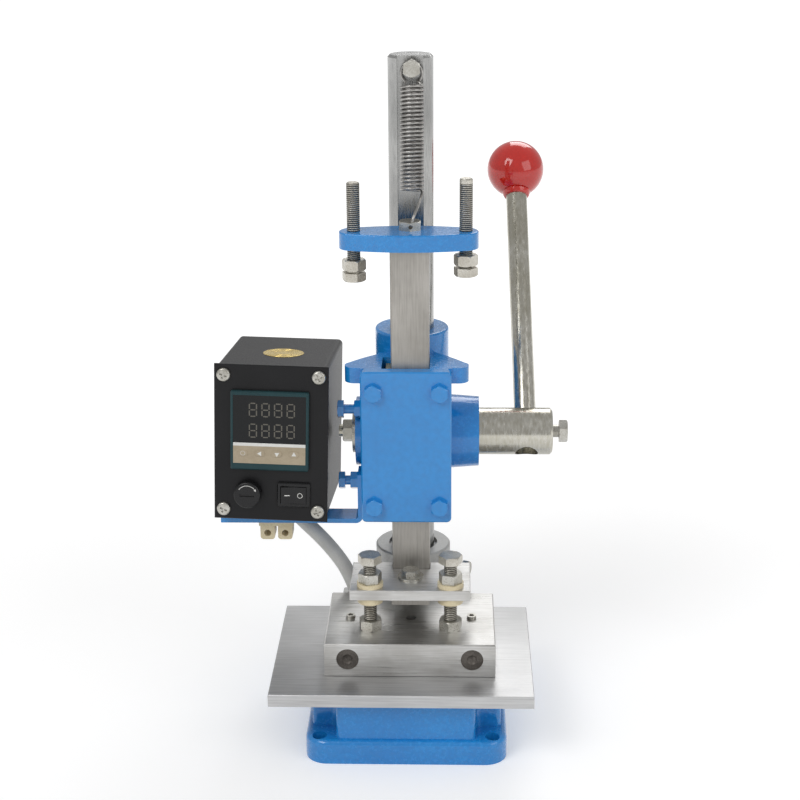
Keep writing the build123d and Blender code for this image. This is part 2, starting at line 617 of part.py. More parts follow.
with BuildPart() as power_inlet:
    with BuildSketch(Plane.XZ.offset(-box_d)):
        with Locations((0, 30.0)):
            RectangleRounded(31.0, 24.0, 2.5)
    extrude(amount=-2.6)
    with BuildSketch(Plane.XZ.offset(-box_d - 2.6)):
        with Locations((0, 30.0)):
            RectangleRounded(24.6, 17.0, 3.5)
    extrude(amount=2.4, mode=Mode.SUBTRACT)
    with BuildSketch(Plane.XZ.offset(-box_d - 0.2)):
        with Locations(*[(dx, 30.0 + dz) for dx, dz in ((-7, -1.5), (0, 2.5), (7, -1.5))]):
            Rectangle(2.0, 4.0)
    extrude(amount=-1.8)
power_inlet_placed = power_inlet.part.moved(box_place)
power_inlet_placed.label = "power_inlet"
export_step(power_inlet_placed, "parts/power_inlet.step")

# ---------------------------------------------------------------- ram with its rack and foot
rack_pitch = pi * module
flank = tan(pressure)
tooth_slack = 0.1
gap_tip = rack_pitch / 4 + module * flank + tooth_slack
gap_root = rack_pitch / 4 - 1.25 * module * flank + tooth_slack
end_bolt_y, foot_len, foot_t = -21.0, 22.0, end_plate_z - ram_foot
plate_bolt_y = 8.0
with BuildSketch() as rack_gap:
    with BuildLine():
        Polyline((1, gap_tip + flank), (-2.25 * module, gap_root), (-2.25 * module, -gap_root),
                 (1, -gap_tip - flank), close=True)
    make_face()
with BuildPart() as ram:
    with BuildSketch(Plane.XY.offset(ram_foot)):
        with Locations((0, ram_y)):
            Rectangle(ram_w, ram_w)
    extrude(amount=ram_top - ram_foot)
    chamfer(ram.edges().filter_by(Axis.Z), length=0.6)
    with BuildSketch(Plane.XY.offset(ram_foot)):
        with Locations((0, ram_front - foot_len / 2 + 1)):
            Rectangle(ram_w, foot_len + 2)
    extrude(amount=foot_t)
    with BuildSketch(Plane.YZ.offset(-ram_w)):
        with Locations(*[(ram_rear, pinion_z + (i - rack_teeth / 2) * rack_pitch)
                         for i in range(rack_teeth)]):
            add(rack_gap.sketch)
    extrude(amount=2 * ram_w, mode=Mode.SUBTRACT)
    with Locations((0, plate_bolt_y, ram_top)):
        Hole(m8["r"] + slack, depth=22)
    with Locations((0, end_bolt_y, end_plate_z)):
        Hole(m6["r"] + slack, depth=foot_t)
ram.part.label = "ram"
export_step(ram.part, "parts/ram.step")

# ---------------------------------------------------------------- stop plate with its centre bolt
stop_x, plate_x = 34.0, -0.6
with BuildPart() as stop_plate:
    with BuildSketch(Plane.XY.offset(plate_z)):
        with BuildLine():
            ThreePointArc((-38, -8.5), (0, -14.5), (38, -8.5))
            ThreePointArc((38, -8.5), (plate_w / 2, 0), (38, 8.5))
            ThreePointArc((38, 8.5), (0, 14.5), (-38, 8.5))
            ThreePointArc((-38, 8.5), (-plate_w / 2, 0), (-38, -8.5))
        make_face()
    extrude(amount=plate_t)
    fillet(stop_plate.edges().group_by(Axis.Z)[-1], radius=0.9)
    with Locations(*[(sx * stop_x - plate_x, 0, plate_z + plate_t) for sx in (-1, 1)]):
        Hole(m8["r"] + 0.1, depth=plate_t)
    with Locations((-plate_x, plate_bolt_y - ram_y, plate_z + plate_t)):
        Hole(m8["r"] + slack, depth=plate_t)
stop_plate_placed = stop_plate.part.moved(Location((plate_x, ram_y, 0)))
stop_plate_placed.label = "stop_plate"
export_step(stop_plate_placed, "parts/stop_plate.step")

plate_bolt = hex_bolt(m8, plate_t + 20)
hook_z = plate_z + plate_t + 2.7
with BuildPart() as stop_plate_bolt:
    with Locations(Location((0, plate_bolt_y, plate_z + plate_t), (0, 0, 30))):
        add(plate_bolt)
    with Locations(along((0.6, plate_bolt_y, hook_z), (0, -1, 0))):
        Hole(1.3, depth=12)
stop_plate_bolt.part.label = "stop_plate_bolt"
export_step(stop_plate_bolt.part, "parts/stop_plate_bolt.step")

# ---------------------------------------------------------------- adjustable stop bolts, each with its nut
stop_heads = {"left": (-stop_x, 287.5, 55.2), "right": (stop_x, 290.5, 54.5)}
stop_nut = hex_nut(m8)
for side, (x, z, length) in stop_heads.items():
    stop_bolt = hex_bolt(m8, length)
    with BuildPart() as bolt:
        with Locations(Location((x, ram_y, z + m8["head"]), (180, 0, 12))):
            add(stop_bolt)
        with Locations(Location((x, ram_y, z + m8["head"] + 1.4), (0, 0, -9))):
            add(stop_nut)
    bolt.part.label = f"stop_bolt_{side}"
    export_step(bolt.part, f"parts/stop_bolt_{side}.step")

# ---------------------------------------------------------------- ram end plate, clamped on the ram's foot
lev_x, lev_y = 25.1, -33.0
with BuildPart() as ram_end_plate:
    with BuildSketch(Plane.XY.offset(end_plate_z)):
        with Locations((0, (end_plate_y0 + end_plate_y1) / 2)):
            Rectangle(end_plate_w, end_plate_y1 - end_plate_y0)
        with Locations((0, end_plate_y1)):
            Rectangle(ram_w + 0.2, 2 * (end_plate_y1 - ram_front + 0.1), mode=Mode.SUBTRACT)
        with Locations(*[(sx * lev_x, lev_y) for sx in (-1, 1)]):
            Circle(5.6, mode=Mode.SUBTRACT)
        with Locations((0, end_bolt_y)):
            Circle(m6["r"] + slack, mode=Mode.SUBTRACT)
    extrude(amount=end_plate_t)
    chamfer(ram_end_plate.edges().group_by(Axis.Z)[-1].filter_by(GeomType.LINE), length=0.4)
ram_end_plate.part.label = "ram_end_plate"
export_step(ram_end_plate.part, "parts/ram_end_plate.step")

end_plate_top = end_plate_z + end_plate_t
with BuildPart() as ram_plate_washer:
    with BuildSketch(Plane.XY.offset(end_plate_top)):
        with Locations((0, end_bolt_y)):
            Circle(8.0)
            Circle(m6["r"] + slack, mode=Mode.SUBTRACT)
    extrude(amount=1.5)
ram_plate_washer.part.label = "ram_plate_washer"
export_step(ram_plate_washer.part, "parts/ram_plate_washer.step")

end_bolt = hex_bolt(m6, end_plate_t + 1.5 + foot_t)
with BuildPart() as ram_plate_bolt:
    with Locations((0, end_bolt_y, end_plate_top + 1.5)):
        add(end_bolt)
ram_plate_bolt.part.label = "ram_plate_bolt"
export_step(ram_plate_bolt.part, "parts/ram_plate_bolt.step")

# ---------------------------------------------------------------- levelling bolts, bushes and nuts
bush_flange, bush_drop = 2.5, 4.2
lev_nut_z = end_plate_top + bush_flange
lev_head_z = 116.6
with BuildPart() as insulating_bushes:
    for z0, z1, r in ((end_plate_top, lev_nut_z, 8.2), (end_plate_z, end_plate_top, 5.5),
                      (end_plate_z - bush_drop, end_plate_z, 8.0)):
        with BuildSketch(Plane.XY.offset(z0)):
            with Locations(*[(sx * lev_x, lev_y) for sx in (-1, 1)]):
                Circle(r)
                Circle(m8["r"] + slack, mode=Mode.SUBTRACT)
        extrude(amount=z1 - z0)
insulating_bushes.part.label = "insulating_bushes"
export_step(insulating_bushes.part, "parts/insulating_bushes.step")

lev_bolt = hex_bolt(m8, lev_head_z - block_top + 9)
with BuildPart() as levelling_bolts:
    with Locations(*[Location((sx * lev_x, lev_y, lev_head_z), (0, 0, 8 * sx)) for sx in (-1, 1)]):
        add(lev_bolt)
levelling_bolts.part.label = "levelling_bolts"
export_step(levelling_bolts.part, "parts/levelling_bolts.step")

lev_nut = hex_nut(m8)
with BuildPart() as levelling_nuts:
    with Locations(*[Location((sx * lev_x, lev_y, z), (0, 0, turn * sx))
                     for sx in (-1, 1) for z, turn in ((lev_nut_z, -14), (block_top, 20))]):
        add(lev_nut)
levelling_nuts.part.label = "levelling_nuts"
export_step(levelling_nuts.part, "parts/levelling_nuts.step")

# ---------------------------------------------------------------- heater block and what it holds
heater_x, heater_z, heater_r = 38.5, 61.6, 6.9
block_front, block_rear = block_y - block_d / 2, block_y + block_d / 2
set_y, probe_y = block_y, block_y
with BuildPart() as heater_block:
    with BuildSketch(Plane.XY.offset(block_z)):
        with Locations((0, block_y)):
            Rectangle(block_w, block_d)
    extrude(amount=block_h)
    chamfer(heater_block.edges().group_by(Axis.Z)[-1], length=0.8)
    with Locations(*[(sx * lev_x, lev_y, block_top) for sx in (-1, 1)]):
        Hole(m8["r"] + slack, depth=10)
    with Locations((0, probe_y, block_top)):
        Hole(3.2, depth=14)
    with Locations(*[(sx * heater_x, set_y, block_top) for sx in (-1, 1)]):
        Hole(3.0, depth=block_top - heater_z)
    with BuildSketch(along((0, block_front, 0), (0, -1, 0), (1, 0, 0))):
        with Locations(*[(sx * heater_x, heater_z) for sx in (-1, 1)]):
            Circle(heater_r + slack)
    extrude(amount=-block_d, mode=Mode.SUBTRACT)
heater_block.part.label = "heater_block"
export_step(heater_block.part, "parts/heater_block.step")

with BuildPart() as cartridge_heaters:
    with BuildSketch(along((0, block_front + 0.4, 0), (0, -1, 0), (1, 0, 0))):
        with Locations(*[(sx * heater_x, heater_z) for sx in (-1, 1)]):
            Circle(heater_r)
    extrude(amount=-(block_d - 1))
    with Locations(*[(sx * heater_x, block_front - 2.6, heater_z) for sx in (-1, 1)]):
        Sphere(4.4, mode=Mode.SUBTRACT)
cartridge_heaters.part.label = "cartridge_heaters"
export_step(cartridge_heaters.part, "parts/cartridge_heaters.step")

with BuildPart() as heater_set_screws:
    with BuildSketch(Plane.XY.offset(heater_z + heater_r + 0.1)):
        with Locations(*[(sx * heater_x, set_y) for sx in (-1, 1)]):
            Circle(2.95)
    extrude(amount=block_top + 2.1 - heater_z - heater_r - 0.1)
    with BuildSketch(Plane.XY.offset(block_top + 2.1)):
        with Locations(*[(sx * heater_x, set_y) for sx in (-1, 1)]):
            RegularPolygon(1.5, 6, major_radius=False)
    extrude(amount=-2.0, mode=Mode.SUBTRACT)
heater_set_screws.part.label = "heater_set_screws"
export_step(heater_set_screws.part, "parts/heater_set_screws.step")

cover_x0, cover_x1, cover_deep, lead_top = -46.0, -30.0, 13.0, 69.2
with BuildPart() as lead_cover:
    with BuildSketch(Plane.XY.offset(52.0)):
        with Locations(((cover_x0 + cover_x1) / 2, block_rear + cover_deep / 2)):
            RectangleRounded(cover_x1 - cover_x0, cover_deep, 1.5)
    extrude(amount=lead_top - 52.0)
    with BuildSketch(Plane.XY.offset(53.5)):
        with Locations(((cover_x0 + cover_x1) / 2, block_rear + cover_deep / 2 - 1)):
            Rectangle(cover_x1 - cover_x0 - 3, cover_deep - 1)
    extrude(amount=lead_top - 53.5 - 1.5, mode=Mode.SUBTRACT)
lead_cover.part.label = "lead_cover"
export_step(lead_cover.part, "parts/lead_cover.step")

# ---------------------------------------------------------------- heater cable, from the box to the block
cable_route = [(-82.0, 23.5, 133.5), (-72.5, 22.0, 123.0), (-60.0, 20.3, 111.5), (-49.3, 20.6, 98.0),
               (-41.8, 22.6, 84.5), (-38.0, 25.6, 71.0)]


def corner_radii(points):
    """Largest arc at each inner corner: 0.45 of the shorter run over the tangent of half the turn."""
    radii = []
    for before, here, after in zip(points, points[1:], points[2:]):
        run_in, run_out = Vector(*here) - Vector(*before), Vector(*after) - Vector(*here)
        half_turn = radians(run_in.get_angle(run_out)) / 2
        radii.append(0.45 * min(run_in.length, run_out.length) / tan(half_turn))
    return radii


with BuildPart() as heater_cable:
    radii = corner_radii(cable_route)
    with BuildLine() as cable_line:
        FilletPolyline(*cable_route, radius=radii)
    with BuildSketch(Plane(cable_line.line ^ 0)):
        Circle(cable_d / 2)
    sweep()
cable_length = cable_line.wires()[0].length
print("cable radii", [round(r, 1) for r in radii], "length", round(cable_length, 1),
      "volume ratio", round(heater_cable.part.volume / (pi * cable_d ** 2 / 4 * cable_length), 4))
heater_cable.part.label = "heater_cable"
export_step(heater_cable.part, "parts/heater_cable.step")

# ---------------------------------------------------------------- return spring: coil envelope, leaning
spring_r, spring_wire = 7.4, 1.7
spring_top, spring_end = (anchor_x, 27.0, 402.5), (1.2, 15.5, 339.0)
spring_axis = Vector(*spring_top) - Vector(*spring_end)
with BuildPart() as return_spring:
    with BuildSketch(along(spring_end, spring_axis, (1, 0, 0))):
        Circle(spring_r)
        Circle(spring_r - spring_wire, mode=Mode.SUBTRACT)
    extrude(amount=spring_axis.length)
return_spring.part.label = "return_spring"
export_step(return_spring.part, "parts/return_spring.step")

# ---------------------------------------------------------------- pinion shaft, bushes, lever and knob
base_circle, tip_r, root_r = pitch_r * cos(pressure), pitch_r + module, pitch_r - 1.25 * module


def involute(angle):
    return tan(angle) - angle


def half_tooth(radius):
    """Half of the angle that a tooth fills at a radius, thinned a little for running slack."""
    at_pitch = pi / (2 * teeth) - tooth_slack / pitch_r
    if radius <= base_circle:
        return at_pitch + involute(pressure)
    return at_pitch + involute(pressure) - involute(acos(base_circle / radius))


flank_radii = [base_circle + (tip_r - base_circle) * i / 5 for i in range(6)]
tooth_side = [(r * cos(half_tooth(r)), r * sin(half_tooth(r))) for r in flank_radii]
root_corner = ((root_r - 0.3) * cos(half_tooth(0)), (root_r - 0.3) * sin(half_tooth(0)))
mirrored = [(x, -y) for x, y in tooth_side]
neck_r, tooth_half_w = 7.0, 7.4
washer_x = left_face - 0.3
with BuildSketch() as tooth:
    with BuildLine():
        Line((root_corner[0], -root_corner[1]), mirrored[0])
        Spline(*mirrored)
        ThreePointArc(mirrored[-1], (tip_r, 0), tooth_side[-1])
        Spline(*reversed(tooth_side))
        Polyline(tooth_side[0], root_corner, (root_corner[0], -root_corner[1]))
    make_face()
with BuildPart() as pinion_shaft:
    with BuildSketch(along((-tooth_half_w, pinion_y, pinion_z), (1, 0, 0), (0, -1, 0))):
        Circle(root_r)
        with PolarLocations(0, teeth):
            add(tooth.sketch)
    extrude(amount=2 * tooth_half_w)
    for x0, x1, r in ((left_bush_x, -tooth_half_w, neck_r), (tooth_half_w, right_bush_x + 0.2, neck_r),
                      (right_bush_x + 0.2, hub_end, hub_r), (washer_x, left_bush_x, left_journal_r),
                      (washer_x - 11.0, washer_x, m8["r"])):
        with BuildSketch(along((x0, pinion_y, pinion_z), (1, 0, 0), (0, -1, 0))):
            Circle(r)
        extrude(amount=x1 - x0)
    chamfer(pinion_shaft.faces().sort_by(Axis.X)[-1].edges(), length=1.5)
    rod_dir = (-sin(lever_side), sin(lever_lean) * cos(lever_side), cos(lever_lean) * cos(lever_side))
    with Locations(along((lever_x, pinion_y, pinion_z), rod_dir, (1, 0, 0))):
        Hole(rod_r + 0.2)
    with Locations(along((hub_end, pinion_y, pinion_z), (1, 0, 0), (0, 1, 0))):
        Hole(m8["r"] + slack, depth=hub_end - lever_x)
pinion_shaft.part.label = "pinion_shaft"
export_step(pinion_shaft.part, "parts/pinion_shaft.step")

for name, x0, x1, outer, inner in (
        ("pinion_bush_right", right_bush_x, right_face - 0.3, right_bush_r, hub_r),
        ("pinion_bush_left", left_face + 0.3, left_bush_x, left_bush_r, left_journal_r)):
    with BuildPart() as bush:
        with BuildSketch(along((x0, pinion_y, pinion_z), (1, 0, 0), (0, 1, 0))):
            Circle(outer - 0.02)
            Circle(inner + slack, mode=Mode.SUBTRACT)
        extrude(amount=x1 - x0)
    bush.part.label = name
    export_step(bush.part, f"parts/{name}.step")

with BuildPart() as pinion_washer:
    with BuildSketch(along((washer_x, pinion_y, pinion_z), (-1, 0, 0), (0, 1, 0))):
        Circle(14.0)
        Circle(m8["r"] + slack, mode=Mode.SUBTRACT)
    extrude(amount=2.0)
pinion_washer.part.label = "pinion_washer"
export_step(pinion_washer.part, "parts/pinion_washer.step")

pinion_end_nut = hex_nut(m8)
with BuildPart() as pinion_nut:
    with Locations(along((washer_x - 2.0, pinion_y, pinion_z), (-1, 0, 0))):
        add(pinion_end_nut)
pinion_nut.part.label = "pinion_nut"
export_step(pinion_nut.part, "parts/pinion_nut.step")


def on_lever(distance):
    return Vector(lever_x, pinion_y, pinion_z) + Vector(*rod_dir) * distance


rod_start, knob_seat = -9.0, lever_len - ball_r * 0.85
with BuildPart() as lever_rod:
    with BuildSketch(along(on_lever(rod_start), rod_dir, (1, 0, 0))):
        Circle(rod_r)
    extrude(amount=knob_seat + 9.0 - rod_start)
lever_rod.part.label = "lever_rod"
export_step(lever_rod.part, "parts/lever_rod.step")

with BuildPart() as ball_knob:
    with Locations(along(on_lever(lever_len), rod_dir, (1, 0, 0))):
        Sphere(ball_r)
    with BuildSketch(along(on_lever(knob_seat - 8), rod_dir, (1, 0, 0))):
        Circle(rod_r + slack)
    extrude(amount=17.2, mode=Mode.SUBTRACT)
ball_knob.part.label = "ball_knob"
export_step(ball_knob.part, "parts/ball_knob.step")

lock_head_x = 94.0
lever_bolt = hex_bolt(m8, lock_head_x - lever_x - rod_r - 0.2)
with BuildPart() as lever_lock_bolt:
    with Locations(along((lock_head_x, pinion_y, pinion_z), (1, 0, 0))):
        add(lever_bolt)
lever_lock_bolt.part.label = "lever_lock_bolt"
export_step(lever_lock_bolt.part, "parts/lever_lock_bolt.step")
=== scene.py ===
import bpy
from math import cos, pi, radians, sin, tan
from mathutils import Matrix, Vector


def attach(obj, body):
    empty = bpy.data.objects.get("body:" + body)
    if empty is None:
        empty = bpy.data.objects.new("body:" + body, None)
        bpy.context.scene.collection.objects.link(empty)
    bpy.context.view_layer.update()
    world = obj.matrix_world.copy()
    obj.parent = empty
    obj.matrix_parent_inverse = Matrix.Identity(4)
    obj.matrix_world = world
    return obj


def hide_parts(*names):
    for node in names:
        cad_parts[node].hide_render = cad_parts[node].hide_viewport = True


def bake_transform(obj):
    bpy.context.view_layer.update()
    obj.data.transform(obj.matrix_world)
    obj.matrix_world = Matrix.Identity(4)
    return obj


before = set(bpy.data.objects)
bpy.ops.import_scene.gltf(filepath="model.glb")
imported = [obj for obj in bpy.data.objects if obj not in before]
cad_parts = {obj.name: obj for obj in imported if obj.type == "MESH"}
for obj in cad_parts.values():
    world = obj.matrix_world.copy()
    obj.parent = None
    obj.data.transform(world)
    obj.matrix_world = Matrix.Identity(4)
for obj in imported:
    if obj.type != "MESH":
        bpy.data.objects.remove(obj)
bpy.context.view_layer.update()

mm = 0.001


def shifted(x, y, z):
    return Matrix.Translation(Vector((x, y, z)) * mm)


def turned(angle, axis):
    return Matrix.Rotation(angle, 4, axis)


# the control box hangs a little askew, and what is on it is placed in its own frame
boxPlace = (shifted(-87.5, -17, 138.5) @ turned(radians(-2), "Z") @ turned(radians(-5.3), "X")
            @ turned(radians(1.3), "Y"))


# finishes
def addSockets(group, inputs, outputs):
    for name, kind, value in inputs:
        socket = group.interface.new_socket(name, in_out="INPUT", socket_type=kind)
        socket.default_value = value
    for name, kind in outputs:
        group.interface.new_socket(name, in_out="OUTPUT", socket_type=kind)


def mathNode(tree, operation, first, second=None):
    node = tree.nodes.new("ShaderNodeMath")
    node.operation = operation
    for socket, value in zip(node.inputs, (first, second)):
        if isinstance(value, (int, float)):
            socket.default_value = value
        elif value is not None:
            tree.links.new(value, socket)
    return node.outputs[0]


def buildSurfaceDetail():
    # fine grain that can be drawn out along an axis, over broad uneven patches
    group = bpy.data.node_groups.new("surfaceDetail", "ShaderNodeTree")
    addSockets(group,
               [("Colour", "NodeSocketColor", (0.5, 0.5, 0.5, 1)),
                ("Aged Colour", "NodeSocketColor", (0.4, 0.4, 0.4, 1)),
                ("Stretch", "NodeSocketVector", (1, 1, 1)),
                ("Grain", "NodeSocketFloat", 800.0),
                ("Patches", "NodeSocketFloat", 25.0),
                ("Smoothest", "NodeSocketFloat", 0.2),
                ("Roughest", "NodeSocketFloat", 0.5)],
               [("Colour", "NodeSocketColor"),
                ("Roughness", "NodeSocketFloat"),
                ("Height", "NodeSocketFloat")])
    nodes, links = group.nodes, group.links
    given, result = nodes.new("NodeGroupInput"), nodes.new("NodeGroupOutput")
    place = nodes.new("ShaderNodeTexCoord").outputs["Object"]
    drawn = nodes.new("ShaderNodeVectorMath")
    drawn.operation = "MULTIPLY"
    links.new(place, drawn.inputs[0])
    links.new(given.outputs["Stretch"], drawn.inputs[1])
    grain, patches = nodes.new("ShaderNodeTexNoise"), nodes.new("ShaderNodeTexNoise")
    grain.inputs["Detail"].default_value, patches.inputs["Detail"].default_value = 5, 4
    links.new(drawn.outputs[0], grain.inputs["Vector"])
    links.new(given.outputs["Grain"], grain.inputs["Scale"])
    links.new(place, patches.inputs["Vector"])
    links.new(given.outputs["Patches"], patches.inputs["Scale"])
    both = mathNode(group, "MULTIPLY", grain.outputs["Fac"], patches.outputs["Fac"])
    spread = nodes.new("ShaderNodeMapRange")
    spread.inputs["From Min"].default_value, spread.inputs["From Max"].default_value = 0.14, 0.36
    links.new(both, spread.inputs["Value"])
    blendColour = nodes.new("ShaderNodeMix")
    blendColour.data_type = "RGBA"
    links.new(spread.outputs[0], blendColour.inputs["Factor"])
    links.new(given.outputs["Aged Colour"], blendColour.inputs["A"])
    links.new(given.outputs["Colour"], blendColour.inputs["B"])
    rough = nodes.new("ShaderNodeMapRange")
    rough.inputs["From Min"].default_value, rough.inputs["From Max"].default_value = 0.3, 0.7
    links.new(grain.outputs["Fac"], rough.inputs["Value"])
    links.new(given.outputs["Smoothest"], rough.inputs["To Min"])
    links.new(given.outputs["Roughest"], rough.inputs["To Max"])
    links.new(blendColour.outputs["Result"], result.inputs["Colour"])
    links.new(rough.outputs[0], result.inputs["Roughness"])
    links.new(grain.outputs["Fac"], result.inputs["Height"])
    return group


surfaceDetail = buildSurfaceDetail()

# threads: ridges near the upright axes at +-x and y, between two heights, with painted shade in the grooves
# between the ridges
threadCut = {"pitch": 1.25, "reach": 4.15, "groove": -0.1, "grooveShade": (0.10, 0.095, 0.085, 1)}
stopThread = {"x": 34.0, "y": 4.0, "from": 296.0, "to": 347.2}
levelThread = {"x": 25.1, "y": -33.0, "from": 60.0, "to": 116.4}


def addThread(tree, colourOut, heightOut, thread):
    nodes, links = tree.nodes, tree.links
    place = nodes.new("ShaderNodeSeparateXYZ")
    links.new(nodes.new("ShaderNodeTexCoord").outputs["Object"], place.inputs[0])
    fromX = mathNode(tree, "SUBTRACT", mathNode(tree, "ABSOLUTE", place.outputs["X"]), thread["x"] * mm)
    fromY = mathNode(tree, "SUBTRACT", place.outputs["Y"], thread["y"] * mm)
    squared = mathNode(tree, "ADD", mathNode(tree, "MULTIPLY", fromX, fromX),
                       mathNode(tree, "MULTIPLY", fromY, fromY))
    near = mathNode(tree, "LESS_THAN", squared, (threadCut["reach"] * mm) ** 2)
    above = mathNode(tree, "GREATER_THAN", place.outputs["Z"], thread["from"] * mm)
    below = mathNode(tree, "LESS_THAN", place.outputs["Z"], thread["to"] * mm)
    onShank = mathNode(tree, "MULTIPLY", near, mathNode(tree, "MULTIPLY", above, below))
    wave = mathNode(tree, "MULTIPLY", place.outputs["Z"], 2 * pi / (threadCut["pitch"] * mm))
    ridge = mathNode(tree, "SINE", wave)
    # the grooves get a dark colour: painted shade in the thread's recesses
    groove = mathNode(tree, "MULTIPLY", mathNode(tree, "LESS_THAN", ridge, threadCut["groove"]), onShank)
    grooveShading = nodes.new("ShaderNodeMix")
    grooveShading.data_type = "RGBA"
    links.new(groove, grooveShading.inputs["Factor"])
    links.new(colourOut, grooveShading.inputs["A"])
    grooveShading.inputs["B"].default_value = threadCut["grooveShade"]
    ridges = mathNode(tree, "MULTIPLY", ridge, onShank)
    return grooveShading.outputs["Result"], mathNode(tree, "ADD", ridges, heightOut)


def finish(name, colour, aged, metal=0.0, rough=(0.25, 0.5), grain=900, patches=25, stretch=(1, 1, 1),
           bump=0.1, depth=0.00005, coat=0.0, specular=0.5, thread=None):
    material = bpy.data.materials.new(name)
    material.use_nodes = True
    tree = material.node_tree
    nodes, links = tree.nodes, tree.links
    shader = nodes["Principled BSDF"]
    shader.inputs["Metallic"].default_value = metal
    shader.inputs["Coat Weight"].default_value = coat
    shader.inputs["Coat Roughness"].default_value = 0.08
    shader.inputs["Specular IOR Level"].default_value = specular
    detail = nodes.new("ShaderNodeGroup")
    detail.node_tree = surfaceDetail
    values = {"Colour": (*colour, 1), "Aged Colour": (*aged, 1), "Stretch": stretch, "Grain": grain,
              "Patches": patches, "Smoothest": rough[0], "Roughest": rough[1]}
    for socket, value in values.items():
        detail.inputs[socket].default_value = value
    colourOut, heightOut = detail.outputs["Colour"], detail.outputs["Height"]
    if thread:
        colourOut, heightOut = addThread(tree, colourOut, heightOut, thread)
    relief = nodes.new("ShaderNodeBump")
    relief.inputs["Strength"].default_value = bump
    relief.inputs["Distance"].default_value = depth
    links.new(heightOut, relief.inputs["Height"])
    links.new(colourOut, shader.inputs["Base Color"])
    links.new(detail.outputs["Roughness"], shader.inputs["Roughness"])
    links.new(relief.outputs[0], shader.inputs["Normal"])
    return material


# enamel, castings and machined steel
blueEnamel = finish("blueEnamel", (0.012, 0.255, 0.66), (0.009, 0.20, 0.56), rough=(0.16, 0.32), grain=420,
                    patches=18, bump=0.45, depth=0.0002, coat=0.5)
coverEnamel = finish("coverEnamel", (0.012, 0.255, 0.66), (0.010, 0.215, 0.58), rough=(0.12, 0.26),
                     grain=260, patches=14, bump=0.25, depth=0.00015, coat=0.6)
castGrey = finish("castGrey", (0.50, 0.50, 0.49), (0.37, 0.37, 0.36), metal=0.55, rough=(0.38, 0.6),
                  grain=700, bump=0.4)
brushedTable = finish("brushedTable", (0.60, 0.60, 0.60), (0.42, 0.42, 0.42), metal=0.85,
                      rough=(0.28, 0.5), grain=900, patches=16, stretch=(0.03, 1, 1), bump=0.15)
brushedBlock = finish("brushedBlock", (0.66, 0.655, 0.64), (0.46, 0.45, 0.43), metal=0.9,
                      rough=(0.25, 0.46), grain=1000, patches=35, stretch=(0.04, 1, 1), bump=0.15)
groundColumn = finish("groundColumn", (0.44, 0.44, 0.43), (0.27, 0.27, 0.265), metal=0.95,
                      rough=(0.16, 0.36), grain=1200, patches=22, stretch=(1, 1, 0.12), bump=0.08)
ramSteel = finish("ramSteel", (0.46, 0.44, 0.41), (0.30, 0.285, 0.26), metal=0.85, rough=(0.34, 0.58),
                  grain=900, patches=30, stretch=(1, 1, 0.06), bump=0.18)
platedSteel = finish("platedSteel", (0.58, 0.565, 0.51), (0.42, 0.40, 0.33), metal=0.95,
                     rough=(0.14, 0.3), grain=700, patches=28, stretch=(1, 0.3, 0.3), bump=0.05)
# fasteners, bushes, wire and heated parts
zincPlate = finish("zincPlate", (0.58, 0.57, 0.53), (0.36, 0.345, 0.30), metal=0.92, rough=(0.22, 0.45),
                   grain=1600, patches=140, bump=0.12)
zincStop = finish("zincStop", (0.66, 0.64, 0.58), (0.46, 0.43, 0.37), metal=0.92, rough=(0.25, 0.45),
                  grain=1600, patches=140, bump=0.9, depth=0.0003, thread=stopThread)
zincLevel = finish("zincLevel", (0.66, 0.64, 0.58), (0.46, 0.43, 0.37), metal=0.92, rough=(0.25, 0.45),
                   grain=1600, patches=140, bump=0.9, depth=0.0003, thread=levelThread)
bronze = finish("bronze", (0.62, 0.46, 0.22), (0.42, 0.30, 0.14), metal=0.95, rough=(0.25, 0.42), grain=1200)
springWire = finish("springWire", (0.46, 0.45, 0.43), (0.24, 0.23, 0.22), metal=0.92,
                    rough=(0.24, 0.44), grain=1800, patches=90)
plainTin = finish("plainTin", (0.46, 0.46, 0.45), (0.34, 0.34, 0.33), metal=0.8, rough=(0.35, 0.55),
                  grain=1200)
heatDark = finish("heatDark", (0.16, 0.145, 0.13), (0.07, 0.062, 0.055), metal=0.8, rough=(0.35, 0.6),
                  grain=1400, patches=120)
# the control box, its plastics and prints, the cable and the ball
boxPaint = finish("boxPaint", (0.009, 0.009, 0.010), (0.005, 0.005, 0.006), specular=0.28,
                  rough=(0.34, 0.5), grain=1500, patches=30, bump=0.35, depth=0.00008)
blackMoulded = finish("blackMoulded", (0.008, 0.008, 0.009), (0.005, 0.005, 0.006), specular=0.35,
                      rough=(0.2, 0.34), grain=1400, patches=60)
tealMoulded = finish("tealMoulded", (0.012, 0.048, 0.055), (0.009, 0.037, 0.043), specular=0.3,
                     rough=(0.3, 0.45), grain=1600, patches=60)
smokedWindow = finish("smokedWindow", (0.006, 0.007, 0.008), (0.004, 0.005, 0.006), specular=0.25,
                      rough=(0.08, 0.16), grain=500, patches=40, bump=0.02)
softKey = finish("softKey", (0.42, 0.35, 0.25), (0.35, 0.29, 0.20), rough=(0.45, 0.6), grain=1800,
                 patches=120)
creamMoulded = finish("creamMoulded", (0.78, 0.69, 0.48), (0.66, 0.56, 0.36), rough=(0.3, 0.48),
                      grain=1300, patches=90)
greyRubber = finish("greyRubber", (0.045, 0.045, 0.045), (0.03, 0.03, 0.03), rough=(0.6, 0.8), grain=1500)
cableSleeve = finish("cableSleeve", (0.74, 0.74, 0.72), (0.58, 0.58, 0.56), rough=(0.65, 0.85),
                     grain=2600, patches=60, bump=0.7, depth=0.0003)
redBall = finish("redBall", (0.62, 0.022, 0.014), (0.54, 0.017, 0.011), rough=(0.08, 0.16), grain=300,
                 patches=30, bump=0.03, coat=0.5)
goldFoil = finish("goldFoil", (0.80, 0.62, 0.22), (0.66, 0.48, 0.15), metal=0.8, rough=(0.18, 0.34),
                  grain=1500, patches=200)
